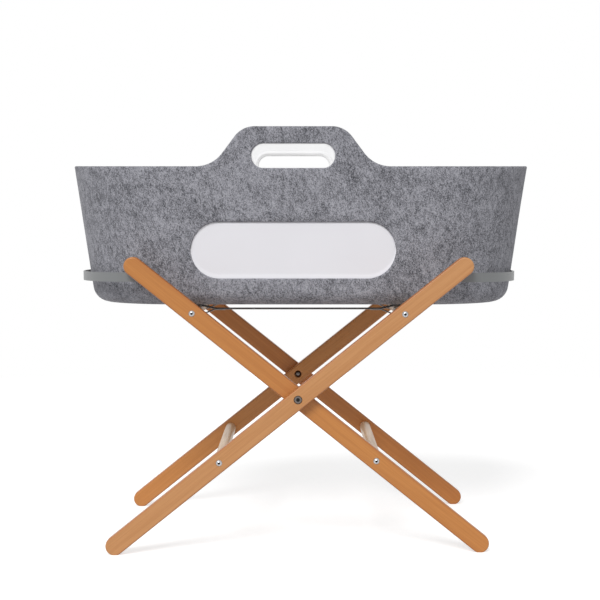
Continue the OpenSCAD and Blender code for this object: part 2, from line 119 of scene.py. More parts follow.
scene.world = bpy.data.worlds.new("white_room")
scene.world.use_nodes = True
tree = scene.world.node_tree
tree.nodes.clear()
strength = add_node(tree, "MapRange", {"Value": seen_directly(tree), "To Min": ROOM_LIGHT, "To Max": 1.0})
room = add_node(tree, "Background", {"Color": srgb("#ffffff"), "Strength": strength})
add_node(tree, "OutputWorld", {"Surface": room})

lamp = bpy.data.lights.new("soft_lamp", "SUN")
lamp.energy = LAMP_LIGHT * math.pi
lamp.angle = LAMP_SPREAD
lamp_object = bpy.data.objects.new("soft_lamp", lamp)
lamp_object.rotation_euler = (math.pi / 2 - LAMP_HEIGHT, 0, -LAMP_AZIMUTH)
scene.collection.objects.link(lamp_object)

floor_paint, tree = new_material("white_floor")
matt = add_node(tree, "BsdfDiffuse", {"Color": srgb("#d8d8d8")})
glow = add_node(tree, "MapRange", {"Value": seen_directly(tree), "To Max": FLOOR_GLOW})
lit = add_node(tree, "Emission", {"Color": srgb("#ffffff"), "Strength": glow})
both = add_node(tree, "AddShader", {0: matt, 1: lit})
add_node(tree, "OutputMaterial", {"Surface": both})

FLOOR_RADIUS = 2.6
turn = np.linspace(0, 2 * math.pi, 96, endpoint=False)
floor_mesh = bpy.data.meshes.new("floor")
rim_points = np.stack([np.cos(turn), np.sin(turn), 0 * turn], 1) * FLOOR_RADIUS
floor_mesh.from_pydata(rim_points.tolist(), [], [list(range(len(turn)))])
floor_mesh.materials.append(floor_paint)
floor = bpy.data.objects.new("floor", floor_mesh)
scene.collection.objects.link(floor)


# Legs: four beech laths of 31 by 18 mm with round ends and eased edges, sawn along the grain
# and finished with a clear satin lacquer that has warmed to a honey brown.
LEG_SLOPE = math.radians(38.6)
PIVOT_Z = 0.257813
LEG_HALF_WIDTH = 0.0155
EDGE_BAND = 0.0035

# Settings for a mix of two colours, whose share is socket 0 and whose colours are sockets 6 and
# 7, and for a range that starts and ends smoothly
COLOURS = {"data_type": "RGBA"}
EASED = {"interpolation_type": "SMOOTHSTEP"}


def lacquered_beech(name, pale, deep, length_axis, turned=0.0, origin=(0, 0, 0), edge=None):
    """Beech under clear lacquer: growth bands about 7 mm apart, fibres 1 mm wide and 70 mm
    long, and the short dark ray flecks that tell beech from other pale woods. The grain runs
    along length_axis once the piece is turned back about its origin. On a leg the eased edges
    take the darker edge colour: partly lacquer that collects there, partly painted shade
    where the edges turn away from the light."""
    material, tree = new_material(name)
    coords = add_node(tree, "TexCoord").outputs["Object"]
    own = add_node(tree, "Mapping", {"Vector": coords, "Location": origin, "Rotation": (0, turned, 0)},
                   vector_type="TEXTURE")

    def along_grain(long_mm, wide_mm):
        """The wood's own coordinates, in units of one grain's length and width."""
        scale = [1000 / wide_mm] * 3
        scale[length_axis] = 1000 / long_mm
        return add_node(tree, "Mapping", {"Vector": own, "Scale": scale})

    bands = add_node(tree, "TexNoise", {"Vector": along_grain(260, 7), "Scale": 1, "Detail": 2,
                                        "Distortion": 0.6})
    fibres = add_node(tree, "TexNoise", {"Vector": along_grain(70, 1.1), "Scale": 1, "Detail": 3})
    flecks = add_node(tree, "TexNoise", {"Vector": along_grain(6, 0.8), "Scale": 1, "Detail": 1})
    grain = add_node(tree, "Math", {0: bands, 1: fibres}, operation="ADD")
    depth = add_node(tree, "MapRange", {"Value": grain, "From Min": 0.72, "From Max": 1.28}, **EASED)
    colour = add_node(tree, "Mix", {0: depth, 6: srgb(pale), 7: srgb(deep)}, **COLOURS)
    fleck_colour = add_node(tree, "Mix", {0: 0.4, 6: colour, 7: srgb("#8a4f22")}, **COLOURS)
    flecked = add_node(tree, "MapRange", {"Value": flecks, "From Min": 0.66, "From Max": 0.74,
                                          "To Max": 0.3}, **EASED)
    colour = add_node(tree, "Mix", {0: flecked, 6: colour, 7: fleck_colour}, **COLOURS)
    # Partly painted shade: a band along each eased edge is painted darker in the edge colour
    if edge:
        across = add_node(tree, "SeparateXYZ", {0: own}).outputs["Z"]
        side = add_node(tree, "Math", {0: across}, operation="ABSOLUTE")
        edge_shade_and_lacquer = add_node(tree, "MapRange", {"Value": side, "From Min": LEG_HALF_WIDTH - EDGE_BAND,
                                             "From Max": LEG_HALF_WIDTH, "To Max": 0.7}, **EASED)
        colour = add_node(tree, "Mix", {0: edge_shade_and_lacquer, 6: colour, 7: srgb(edge)}, **COLOURS)
    gloss = add_node(tree, "MapRange", {"Value": fibres, "From Min": 0.3, "From Max": 0.7,
                                        "To Min": 0.38, "To Max": 0.48}, **EASED)
    pores = add_node(tree, "Bump", {"Strength": 0.25, "Distance": 0.00015, "Height": fibres})
    shader = add_node(tree, "BsdfPrincipled", {"Base Color": colour, "Roughness": gloss, "Normal": pores,
                                               "IOR": 1.5, "Coat Weight": 0.2, "Coat Roughness": 0.3,
                                               "Coat IOR": 1.5})
    add_node(tree, "OutputMaterial", {"Surface": shader})
    return material


def finish_nodes(material, *names):
    """Gives CAD nodes their finish."""
    for name in names:
        nodes[name].data.materials.clear()
        nodes[name].data.materials.append(material)


# Each leg is a board of its own tone; the rear legs' deeper, more saturated orange is painted shade, as they
# stand under the basket
for leg, slope, pale, deep, edge in (("front_outer_leg", -LEG_SLOPE, "#c58d59", "#b9804c", "#a9632f"),
                                     ("rear_inner_leg", -LEG_SLOPE, "#c68343", "#ba7738", "#a9632f"),
                                     ("front_inner_leg", LEG_SLOPE, "#c17f3d", "#b57334", "#a55d25"),
                                     ("rear_outer_leg", LEG_SLOPE, "#c57c38", "#b9702f", "#a55d25")):
    finish_nodes(lacquered_beech("lacquered_beech_" + leg, pale, deep, 0, slope, (0, 0, PIVOT_Z), edge), leg)


# Rails: four turned beech dowels of 20 mm that tie the legs in pairs. They are paler than the
# legs, and their grain runs from front to back.
pale_beech = lacquered_beech("lacquered_pale_beech", "#dcbf9f", "#cda983", 1)
finish_nodes(pale_beech, "lower_left_rail", "lower_right_rail", "upper_left_rail", "upper_right_rail")


# Rail bolts, pivots and bar screws: cold-headed steel under zinc with a fine brushed haze. The
# plating is pale and slightly blue, and a dark brown-grey on the pivots. The inserts are
# turned brass, and the washers between the legs are moulded nylon.
RAIL_ALONG = (-0.168, 0.228)
RAIL_SOCKET_R = 0.0022
PIVOT_SOCKET_R = 0.0033


def metal(name, clean, dull, low, high, grit_mm, shaded_sockets=(), socket_shade_r=RAIL_SOCKET_R):
    """A bare metal whose colour and roughness vary over grit_mm, the roughness between low and
    high. Inside the key sockets, which are given by the X and Z of their axes, the colour is
    painted near black as painted shade."""
    material, tree = new_material(name)
    coords = add_node(tree, "TexCoord").outputs["Object"]
    grit = add_node(tree, "TexNoise", {"Vector": coords, "Scale": 1000 / grit_mm, "Detail": 2})
    shade = add_node(tree, "Mix", {0: grit, 6: srgb(clean), 7: srgb(dull)}, **COLOURS)
    flat = add_node(tree, "Mapping", {"Vector": coords, "Scale": (1, 0, 1)})
    # Painted shade: each key socket's floor is painted near black
    for x, z in shaded_sockets:
        far = add_node(tree, "VectorMath", {0: flat, 1: (x, 0, z)}, operation="DISTANCE")
        inside = add_node(tree, "MapRange", {"Value": far, "From Min": socket_shade_r,
                                             "From Max": socket_shade_r * 0.85}, **EASED)
        shade = add_node(tree, "Mix", {0: inside, 6: shade, 7: srgb("#2b2a29")}, **COLOURS)
    haze = add_node(tree, "MapRange", {"Value": grit, "From Min": 0.35, "From Max": 0.65,
                                       "To Min": low, "To Max": high}, **EASED)
    relief = add_node(tree, "Bump", {"Strength": 0.1, "Distance": 0.00005, "Height": grit})
    shader = add_node(tree, "BsdfPrincipled", {"Base Color": shade, "Metallic": 1.0, "Roughness": haze,
                                               "Normal": relief})
    add_node(tree, "OutputMaterial", {"Surface": shader})
    return material


def rail_axes(side):
    """X and Z of a frame's two rails, from the pivot along the leg."""
    return [(side * along * math.cos(LEG_SLOPE), PIVOT_Z + along * math.sin(LEG_SLOPE))
            for along in RAIL_ALONG]


# Clean and dull colour, lowest and highest roughness, and the grit of the finish in mm
ZINC = ("#bdbfc2", "#b1b3b6", 0.24, 0.4, 0.8)
DARK_ZINC = ("#77716e", "#67615e", 0.24, 0.4, 0.8)
BRASS = ("#cda75d", "#c39c52", 0.25, 0.4, 0.6)
finish_nodes(metal("bright_zinc_bolts_a", *ZINC, rail_axes(1)), "rail_bolts_a")
finish_nodes(metal("bright_zinc_bolts_b", *ZINC, rail_axes(-1)), "rail_bolts_b")
finish_nodes(metal("bright_zinc_screws", *ZINC), "right_bar_screws", "left_bar_screws")
finish_nodes(metal("dark_zinc_pivots", *DARK_ZINC, [(0, PIVOT_Z)], PIVOT_SOCKET_R), "front_pivot_bolt",
             "rear_pivot_bolt")
finish_nodes(metal("dark_zinc_nuts", *DARK_ZINC), "front_pivot_nut", "rear_pivot_nut")
finish_nodes(metal("turned_brass", *BRASS), "rail_inserts_a", "rail_inserts_b")

nylon, tree = new_material("moulded_nylon")
coords = add_node(tree, "TexCoord").outputs["Object"]
mould = add_node(tree, "TexNoise", {"Vector": coords, "Scale": 1000 / 1.11})
relief = add_node(tree, "Bump", {"Strength": 0.2, "Distance": 0.00005, "Height": mould})
shader = add_node(tree, "BsdfPrincipled", {"Base Color": srgb("#d9d6cd"), "Roughness": 0.45, "IOR": 1.53,
                                           "Subsurface Weight": 0.1, "Subsurface Scale": 0.002,
                                           "Normal": relief})
add_node(tree, "OutputMaterial", {"Surface": shader})
finish_nodes(nylon, "front_pivot_washer", "rear_pivot_washer")


# End bars: flat steel of 16 by 3 mm bent round each end of the basket and powder coated in a
# satin grey. The coat flows into a fine orange peel, about 1.5 mm from crest to crest.
coat, tree = new_material("grey_powder_coat")
coords = add_node(tree, "TexCoord").outputs["Object"]
peel = add_node(tree, "TexNoise", {"Vector": coords, "Scale": 1000 / 1.5, "Detail": 1})
# The bar's own tone drifts over about 55 mm
clouds = add_node(tree, "TexNoise", {"Vector": coords, "Scale": 18, "Detail": 2})
shade = add_node(tree, "Mix", {0: clouds, 6: srgb("#767879"), 7: srgb("#7e8081")}, **COLOURS)
relief = add_node(tree, "Bump", {"Strength": 0.25, "Distance": 0.00006, "Height": peel})
shader = add_node(tree, "BsdfPrincipled", {"Base Color": shade, "Roughness": 0.38, "IOR": 1.5,
                                           "Normal": relief})
add_node(tree, "OutputMaterial", {"Surface": shader})
finish_nodes(coat, "right_end_bar", "left_end_bar")


# Felt basket: one wall of 6 mm wool felt drawn up round an oval floor, leaning out by 8.9
# degrees, with a handle cut from each long side. The cut edges are soft and slightly round,
# and the wall is stiff enough to stand with only a faint wave in it.
BASKET_X = 0.005
FLARE = math.radians(8.9)
BOTTOM_R = 0.030
FELT = 0.006
RIM_H = 0.2353
RIM_END_RISE = 0.0085
ARCH_RISE = 0.0665
ARCH_HALF = 0.0648
ARCH_TOP_R = 0.042
ARCH_FOOT_R = 0.056
ARCH_TURN = math.radians(53)
HANDLE_X = -0.013
HOLE_STRAIGHT = 0.04975
HOLE_R = 0.02025
HOLE_H = RIM_H + ARCH_RISE - 0.029 - HOLE_R
WINDOW_STRAIGHT = 0.1255
WINDOW_R = 0.048
WINDOW_H = 0.094
WINDOW_EDGE = 0.0012
WAVE = 0.0010
WAVES_ALONG = 31
WAVES_UP = 21
WAVE_START = 0.05
COLUMN_GAP = 0.008
SNAPS_PER_M = 4000
low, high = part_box("felt_basket")
BASKET_Z = low.z
BASE_R = high.y - (high.z - low.z) * math.tan(FLARE)
board_low, board_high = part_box("base_board")
STRAIGHT_HALF = (board_high.x - board_low.x) / 2 - board_high.y
BEND_R = BASE_R + BOTTOM_R * math.tan(FLARE) - BOTTOM_R / math.cos(FLARE)
ARCH_CURVES = ARCH_TOP_R + ARCH_FOOT_R
ARCH_FLANK = (ARCH_RISE - ARCH_CURVES * (1 - math.cos(ARCH_TURN))) / math.sin(ARCH_TURN)
ARCH_REACH = ARCH_HALF + ARCH_CURVES * math.sin(ARCH_TURN) + ARCH_FLANK * math.cos(ARCH_TURN)


def wall_radius(height, inset):
    """Radius of the wall's plan: the base radius plus the lean, less the inset along the wall."""
    return BASE_R + height * math.tan(FLARE) - inset / math.cos(FLARE)


def wave(along, facing, height):
    """How far the wall waves out: the product of a 0.2 m wave along it and a 0.3 m wave up it,
    of another phase on each side, which starts above the bars that hold the basket's ends."""
    start = np.clip((height - WAVE_START) / (2 * WAVE_START), 0, 1)
    swell = np.sin(WAVES_ALONG * along + 2.1 * facing + 0.6) * np.cos(WAVES_UP * height + 1.7 * facing)
    return WAVE * start * start * (3 - 2 * start) * swell


def top_edge(a, facing, drop):
    """Height of the top edge, drop below the cut, and how far its normal leans along the wall.
    From the handle's middle: level, a convex shoulder, a straight flank, a concave foot and
    the rim, which rises towards the ends of the basket."""
    side, a = np.sign(a), np.abs(a)
    rim = RIM_H + RIM_END_RISE * (1 - np.abs(facing)) - drop
    top, top_r, foot_r = RIM_H + ARCH_RISE - drop, ARCH_TOP_R - drop, ARCH_FOOT_R + drop
    past = np.clip(a - ARCH_HALF, 0, top_r * math.sin(ARCH_TURN))
    before = np.clip(ARCH_REACH - a, 0, foot_r * math.sin(ARCH_TURN))
    shoulder_end = ARCH_HALF + top_r * math.sin(ARCH_TURN)
    flank_end = ARCH_REACH - foot_r * math.sin(ARCH_TURN)
    shoulder = top - top_r + np.sqrt(top_r ** 2 - past ** 2)
    flank = top - top_r * (1 - math.cos(ARCH_TURN)) - (a - shoulder_end) * math.tan(ARCH_TURN)
    foot = rim + foot_r - np.sqrt(foot_r ** 2 - before ** 2)
    parts = [a < shoulder_end, a < flank_end]
    return (np.select(parts, [shoulder, flank], foot),
            side * np.select(parts, [past / top_r, math.sin(ARCH_TURN)], before / foot_r))


def slot_rows(a, straight, radius, middle, low, high):
    """Lower and upper edge of a slot with round ends, and beyond it the one line into which
    both run, at the same share of the wall's height from low to high."""
    a = np.abs(a)
    reach = straight + radius
    end = np.argmin(np.abs(a - reach))
    share = (middle - low[end]) / (high[end] - low[end])
    line = np.where(a <= reach + 1e-6, middle, low + share * (high - low))
    half = np.sqrt(np.maximum(radius ** 2 - np.clip(a - straight, 0, radius) ** 2, 0))
    half = np.where(a < reach - 1e-6, half, 0)
    return line - half, line + half


def object_of(name, patches, materials):
    """One smooth object from grids of points, each with the number of its material. Grids are
    welded where they meet, and faces are turned outwards. Where points hold five numbers, the
    last two are how far along and across the cloth they lie."""
    points, faces, slots, start = [], [], [], 0
    for grid, wraps, slot in patches:
        rows, columns = grid.shape[:2]
        row = np.arange(rows - 1)[:, None] * columns
        here = np.arange(columns if wraps else columns - 1)[None, :]
        there = (here + 1) % columns
        quads = np.stack([row + here, row + there, row + columns + there, row + columns + here], -1)
        faces.append(quads.reshape(-1, 4) + start)
        slots.append(np.full(quads.size // 4, slot))
        points.append(grid.reshape(-1, grid.shape[2]))
        start += rows * columns
    mesh = bpy.data.meshes.new(name)
    points = np.concatenate(points)
    mesh.from_pydata(points[:, :3].tolist(), [], np.concatenate(faces).tolist())
    if points.shape[1] == 5:
        weave = np.concatenate([points[:, 3:], 0 * points[:, :1]], 1)
        mesh.attributes.new("weave", "FLOAT_VECTOR", "POINT").data.foreach_set("vector", weave.ravel())
    mesh.polygons.foreach_set("material_index", np.concatenate(slots).astype(np.int32))
    mesh.polygons.foreach_set("use_smooth", np.ones(len(mesh.polygons), bool))
    for material in materials:
        mesh.materials.append(material)
    work = bmesh.new()
    work.from_mesh(mesh)
    bmesh.ops.remove_doubles(work, verts=work.verts, dist=2e-6)
    bmesh.ops.dissolve_degenerate(work, edges=work.edges, dist=1e-7)
    bmesh.ops.recalc_face_normals(work, faces=work.faces)
    work.to_mesh(mesh)
    work.free()
    made = bpy.data.objects.new(name, mesh)
    scene.collection.objects.link(made)
    return made


def basket_shell(inset, thick, floor_h, drop, edge, has_window):
    """The grids of a closed shell inside the basket's outer face: floor, rounded bottom and
    wall, twice, and a half-elliptic edge where the two faces meet. Columns run up the wall and
    crowd towards the ends of the slots; rows lie between the slots' edges, so that the faces
    follow every outline."""
    def crowded(straight, radius):
        """Columns from where a slot's side turns round to its end, closer towards the end."""
        return straight + radius * np.sin(np.linspace(0, math.pi / 2, 14))

    shoulder = ARCH_HALF + ARCH_TOP_R * np.sin(np.linspace(0, ARCH_TURN, 9))
    foot = ARCH_REACH - ARCH_FOOT_R * np.sin(np.linspace(0, ARCH_TURN, 10))
    hole_r, window_r = HOLE_R + drop, WINDOW_R + WINDOW_EDGE
    marks = np.concatenate([crowded(HOLE_STRAIGHT, hole_r), crowded(WINDOW_STRAIGHT, window_r),
                            shoulder, foot, np.arange(0, STRAIGHT_HALF - HANDLE_X, COLUMN_GAP)])
    marks = np.concatenate([-marks, marks])
    marks = np.unique(np.round(marks * SNAPS_PER_M) / SNAPS_PER_M) + HANDLE_X
    marks = marks[np.abs(marks) < STRAIGHT_HALF - COLUMN_GAP / 4]
    marks = np.concatenate([[-STRAIGHT_HALF], marks])
    turn = np.radians(np.linspace(-90, 90, 49))[:-1]
    centre = np.concatenate([marks, STRAIGHT_HALF + 0 * turn, -marks, -STRAIGHT_HALF + 0 * turn])
    # The rear wall runs back over the same columns, so its own first column is the right end
    rear = np.concatenate([[STRAIGHT_HALF], marks[:0:-1]])
    centre[len(marks) + len(turn):2 * len(marks) + len(turn)] = rear
    out_x = np.concatenate([0 * marks, np.cos(turn), 0 * marks, -np.cos(turn)])
    out_y = np.concatenate([-1 + 0 * marks, np.sin(turn), 1 + 0 * marks, -np.sin(turn)])
    a = np.where(out_x == 0, centre - HANDLE_X, 1.0)

    def spot(radius, height, shift=0):
        """Points at a radius round the plan's middle line, shifted along it."""
        return np.stack(np.broadcast_arrays(BASKET_X + centre + shift + radius * out_x, radius * out_y,
                                            BASKET_Z + height), -1)

    def on_wall(height, depth, shift=0):
        """Points in the leaning wall, at a height and at a depth from its outer face."""
        return spot(wall_radius(height, depth) + wave(centre, out_y, height), height, shift)

    top, lean = top_edge(a, out_y, drop)
    upright = np.sqrt(1 - lean ** 2)
    patches = []
    round_turn = np.linspace(0, math.pi, 7)
    faces = ((inset, floor_h), (inset + thick, floor_h + thick))
    for depth, level in faces:
        arc_r = BOTTOM_R - depth
        lowest = math.asin(max(-1, (level - BOTTOM_R) / arc_r))
        bend = np.linspace(lowest, -FLARE, 9)
        inner = np.linspace(0, 1, 8)[:-1] * (BEND_R + arc_r * math.cos(lowest))
        radius = np.concatenate([inner, BEND_R + arc_r * np.cos(bend)])
        height = np.concatenate([0 * inner + level, BOTTOM_R + arc_r * np.sin(bend)])
        patches.append((spot(radius[:, None], height[:, None]), True, 0))
        low = height[-1] + 0 * top
        window = slot_rows(a, WINDOW_STRAIGHT, window_r if has_window else 0, WINDOW_H, low, top)
        hole = slot_rows(a, HOLE_STRAIGHT, hole_r, HOLE_H, window[1], top)
        for start, stop, rows in ((low, window[0], 7), (window[1], hole[0], 14), (hole[1], top, 6)):
            share = np.linspace(0, 1, rows)[:, None]
            patches.append((on_wall(start + (stop - start) * share, depth), True, 0))
    reach = (1 - np.cos(round_turn[:, None])) / 2 * thick + inset
    bulge = np.sin(round_turn[:, None]) * edge
    patches.append((on_wall(top + upright * bulge, reach, lean * bulge), True, 0))
    slots = [(HOLE_STRAIGHT, hole_r, hole, edge)]
    slots += [(WINDOW_STRAIGHT, window_r, window, WINDOW_EDGE)] * has_window
    for straight, radius, (lower, upper), round_by in slots:
        bulge = np.sin(round_turn[:, None]) * round_by
        tilt = np.clip((np.abs(a) - straight) / radius, 0, 1)
        aside, rise = -np.sign(a) * tilt, np.sqrt(1 - tilt ** 2)
        for side in (-1, 1):
            part = (out_y == side) & (out_x == 0) & (np.abs(a) <= straight + radius + 1e-6)
            for outline, up in ((lower, 1), (upper, -1)):
                lip = on_wall(outline + up * rise * bulge, reach, aside * bulge)
                patches.append((lip[:, part], False, 0))
    return patches


def felt_wool():
    """Wool felt pressed from black, grey and white fibres: tufts 2 mm wide and 6 mm long that
    lie upright or lean, since the wool was rolled that way, specks of 1.4 by 2 mm, swirls of
    7 by 13 mm where they gather, and cloudy patches of 36 by 50 mm. A fine nap brightens at a
    glancing angle. The fibres themselves are too thin to show."""
    material, tree = new_material("pressed_wool_felt")
    coords = add_node(tree, "TexCoord").outputs["Object"]

    def tufts(wide_mm, long_mm, turned):
        """Noise stretched upright, or as far off upright as turned."""
        stretched = add_node(tree, "Mapping", {"Vector": coords, "Rotation": (0, turned, 0)})
        scaled = add_node(tree, "Mapping", {"Vector": stretched,
                                            "Scale": (1000 / wide_mm, 1000 / wide_mm, 1000 / long_mm)})
        return add_node(tree, "TexNoise", {"Vector": scaled, "Scale": 1, "Detail": 3, "Distortion": 0.4})

    pile = 0.0
    for layer, weight in ((tufts(2.2, 6, 0), 0.5), (tufts(2.0, 5, math.radians(38)), 0.5),
                          (tufts(1.4, 2.0, -0.5), 1.3), (tufts(7, 13, math.radians(20)), 0.55),
                          (tufts(36, 50, math.radians(35)), 0.4)):
        pile = add_node(tree, "Math", {0: layer, 1: weight, 2: pile}, operation="MULTIPLY_ADD")
    light = add_node(tree, "MapRange", {"Value": pile, "From Min": 1.25, "From Max": 2.0}, **EASED)
    shade = add_node(tree, "Mix", {0: light, 6: srgb("#4b4c51"), 7: srgb("#b0b0b8")}, **COLOURS)
    relief = add_node(tree, "Bump", {"Strength": 0.3, "Distance": 0.0005, "Height": pile})
    shader = add_node(tree, "BsdfPrincipled", {"Base Color": shade, "Roughness": 0.95, "IOR": 1.45,
                                               "Specular IOR Level": 0.25, "Sheen Weight": 0.15,
                                               "Sheen Roughness": 0.5, "Sheen Tint": srgb("#e6e6ea"),
                                               "Normal": relief})
    add_node(tree, "OutputMaterial", {"Surface": shader})
    return material


EDGE = 0.0025
felt = felt_wool()
felt_basket = object_of("felt_wall_and_floor", basket_shell(0, FELT, 0, EDGE, EDGE, True), [felt])
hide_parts("felt_basket")
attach(felt_basket, "basket")


# Window panels: a smooth white coated fabric stretched in each long side's window, 2 to 3 mm
# back from the felt's face. Its lower border is drawn in, so it makes a narrow ledge that
# follows the window's outline and catches the light from above.
PANEL_INSET = 0.0020
PANEL_T = 0.0012
LEDGE_H = 0.0095
LEDGE_DEPTH = 0.0012
PANEL_TUCK = 0.0008

coated, tree = new_material("coated_white_fabric")
coords = add_node(tree, "TexCoord").outputs["Object"]
# The real weave, about 0.4 mm, is too fine to show, so this one is drawn at 1.2 mm
threads = add_node(tree, "TexNoise", {"Vector": coords, "Scale": 1000 / 1.2, "Detail": 1})
# The coat's tone drifts over about 70 mm
soft = add_node(tree, "TexNoise", {"Vector": coords, "Scale": 14, "Detail": 1})
shade = add_node(tree, "Mix", {0: soft, 6: srgb("#eae9ee"), 7: srgb("#eeedf2")}, **COLOURS)
relief = add_node(tree, "Bump", {"Strength": 0.06, "Distance": 0.0001, "Height": threads})
shader = add_node(tree, "BsdfPrincipled", {"Base Color": shade, "Roughness": 0.55, "IOR": 1.5,
                                           "Sheen Weight": 0.05, "Sheen Roughness": 0.4,
                                           "Normal": relief})
add_node(tree, "OutputMaterial", {"Surface": shader})


def window_panel(side):
    """Columns across the window and rows up it: the first rows climb the ledge, whose depth
    goes smoothly from the felt's edge to the panel's own, and the rest share what is left."""
    radius = WINDOW_R + PANEL_TUCK
    turn = np.sin(np.linspace(-math.pi / 2, math.pi / 2, 33)) * radius
    a = np.concatenate([turn[:16] - WINDOW_STRAIGHT, np.linspace(-1, 1, 41) * WINDOW_STRAIGHT,
                        turn[17:] + WINDOW_STRAIGHT])
    half = np.sqrt(np.maximum(radius ** 2 - np.clip(np.abs(a) - WINDOW_STRAIGHT, 0, radius) ** 2, 0))
    rise = np.concatenate([np.linspace(0, LEDGE_H, 9), np.linspace(LEDGE_H, 2 * radius, 16)[1:]])
    rise = np.minimum(rise[:, None], 2 * half)
    climb = np.clip(rise / LEDGE_H, 0, 1)
    depth = PANEL_INSET + LEDGE_DEPTH * climb * climb * (3 - 2 * climb)
    height = WINDOW_H - half + rise

    def at(back):
        """The panel's face that lies as far back from its front as given."""
        radius_here = wall_radius(height, depth + back) + wave(a + HANDLE_X, side, height)
        x = BASKET_X + HANDLE_X + np.broadcast_to(a, height.shape)
        return np.stack([x, side * radius_here, BASKET_Z + height], -1)

    front, rear = at(0), at(PANEL_T)
    edges = [np.stack([front[row], rear[row]]) for row in (0, -1)]
    return [(front, False, 0), (rear, False, 0)] + [(edge, False, 0) for edge in edges]


for side, where in ((-1, "front"), (1, "rear")):
    panel = object_of(where + "_white_panel", window_panel(side), [coated])
    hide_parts(where + "_window_panel")
    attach(panel, "basket")


# Liner: thin white cotton that covers the inside of the felt, the handles too, and lies on
# the board. It is sewn as a bag, so soft creases run up it from the floor.
LINER = 0.0015
LINER_DEPTH = 0.0063
LINER_FLOOR = 0.009
LINER_DROP = 0.004
LINER_EDGE = 0.0006

cotton, tree = new_material("white_cotton")
coords = add_node(tree, "TexCoord").outputs["Object"]
# Creases about 40 mm apart and 200 mm long
upright = add_node(tree, "Mapping", {"Vector": coords, "Scale": (26, 26, 5)})
creases = add_node(tree, "TexNoise", {"Vector": upright, "Scale": 1, "Detail": 3})
# The real threads, about 0.3 mm, are too fine to show, so these are drawn at 1 mm
threads = add_node(tree, "TexNoise", {"Vector": coords, "Scale": 1000, "Detail": 1})
shade = add_node(tree, "Mix", {0: creases, 6: srgb("#f0f0f1"), 7: srgb("#f6f6f7")}, **COLOURS)
weave = add_node(tree, "Math", {0: threads, 1: 0.05, 2: creases}, operation="MULTIPLY_ADD")
relief = add_node(tree, "Bump", {"Strength": 0.5, "Distance": 0.004, "Height": weave})
shader = add_node(tree, "BsdfPrincipled", {"Base Color": shade, "Roughness": 0.85, "IOR": 1.47,
                                           "Sheen Weight": 0.15, "Sheen Roughness": 0.5,
                                           "Normal": relief})
add_node(tree, "OutputMaterial", {"Surface": shader})

liner = object_of("cotton_liner",
                  basket_shell(LINER_DEPTH, LINER, LINER_FLOOR, LINER_DROP, LINER_EDGE, False), [cotton])
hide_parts("liner")
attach(liner, "basket")


# Hand hole facings: a strip of the liner's cotton sewn down inside the basket round each hand
# hole and turned into it almost to the felt's outer face, so that fingers meet cloth.
FACING = 0.0007
FACING_WIDTH = 0.0085
FACING_GAP = 0.0002
FACING_BEND = 0.0006


def hole_facing(side):
    """A thin strip carried round the hole's outline. In section it follows the felt's round
    edge from beside its crest to the inner face, and then lies on the liner."""
    over = np.linspace(math.pi / 3, math.pi, 9)
    edge = np.stack([FELT / 2 * (1 - np.cos(over)), EDGE * (1 - np.sin(over))], 1)
    on_liner = LINER_DEPTH + LINER + FACING_GAP
    flange = [[on_liner - FACING_BEND, LINER_DROP - 2 * FACING_GAP], [on_liner, LINER_DROP + FACING_BEND],
              [on_liner, FACING_WIDTH]]
    under = np.concatenate([edge, flange])
    tangent = np.gradient(under, axis=0)
    tangent /= np.linalg.norm(tangent, axis=1, keepdims=True)
    upper = under + FACING * np.stack([tangent[:, 1], -tangent[:, 0]], 1)
    section = np.concatenate([upper, under[::-1], upper[:1]])
    depth, radius = section[:, :1], HOLE_R + section[:, 1:]
    turn = np.linspace(0, 2 * math.pi, 61)
    a = np.sign(np.round(np.cos(turn), 9)) * HOLE_STRAIGHT + radius * np.cos(turn)
    height = HOLE_H + radius * np.sin(turn)
    out = wall_radius(height, depth) + wave(a + HANDLE_X, side, height)
    return [(np.stack([BASKET_X + HANDLE_X + a, side * out, BASKET_Z + height], -1), False, 0)]


for side, where in ((-1, "front"), (1, "rear")):
    facing = object_of(where + "_hand_hole_facing", hole_facing(side), [cotton])
    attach(facing, "basket")


# Base board: a 3 mm hardboard that stiffens the felt floor. It is pressed from brown wood
# fibre, smooth above, with short fibres that lie every way.
board, tree = new_material("hardboard")
coords = add_node(tree, "TexCoord").outputs["Object"]
pulp = add_node(tree, "TexNoise", {"Vector": coords, "Scale": 1000 / 2, "Detail": 3, "Distortion": 2})
fibre = add_node(tree, "MapRange", {"Value": pulp, "From Min": 0.35, "From Max": 0.65}, **EASED)
shade = add_node(tree, "Mix", {0: fibre, 6: srgb("#7d5d3d"), 7: srgb("#93714b")}, **COLOURS)
relief = add_node(tree, "Bump", {"Strength": 0.3, "Distance": 0.0002, "Height": pulp})
shader = add_node(tree, "BsdfPrincipled", {"Base Color": shade, "Roughness": 0.7, "IOR": 1.5,
                                           "Normal": relief})
add_node(tree, "OutputMaterial", {"Surface": shader})
finish_nodes(board, "base_board")


# Mattress: an oval pad of fibre filling in a white cotton cover. The filling blows it up a
# little; the cover is quilted in diamonds and piped round the seam at its waist.
PIPING_ROOM = 0.0035
SWELL_UNDER = 0.0025
SWELL_OVER = 0.0045
QUILT = 0.062
QUILT_DEPTH = 0.0022
SEAM_WIDTH = 0.005
FADE = 0.006
FADE_OUT = 0.010
WAIST_BAND = 0.0003
low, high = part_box("mattress")
PAD_R = high.y - PIPING_ROOM
PAD_STRAIGHT = (high.x - low.x) / 2 - high.y
PAD_Z, PAD_TOP = low.z + SWELL_UNDER, high.z - SWELL_OVER
FOOT_R = 0.017
EDGE_R = 0.010
CROWN = 0.0075
# Size of the cover's facets, the filling's pressure and how far it may move the cover
FACET = 0.006
PRESSURE = 4
GIVE = 0.006


